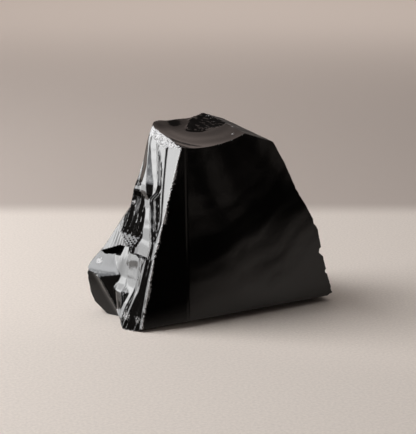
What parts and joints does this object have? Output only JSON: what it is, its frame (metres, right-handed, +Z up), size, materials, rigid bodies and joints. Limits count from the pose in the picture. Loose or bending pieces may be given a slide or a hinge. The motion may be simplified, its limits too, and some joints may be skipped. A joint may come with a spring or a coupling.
{
  "type": "obsidian chunk",
  "caption": "Wedge-shaped chunk of black volcanic glass with glossy conchoidal fractures, a fluted side wall and a small foot; stands on a flat base",
  "frame": {"origin": "centre of the stone's bounding box, on the ground plane", "axes": "+Z up; the broad flat face looks along -Y; the stone is longest along X, with its foot towards -X"},
  "size_m": [0.1002, 0.0602, 0.0819],
  "materials": {
    "obsidian": "polished, opaque black"
  },
  "bodies": {
    "root": {"obsidian_chunk": "obsidian"}
  },
  "joints": []
}
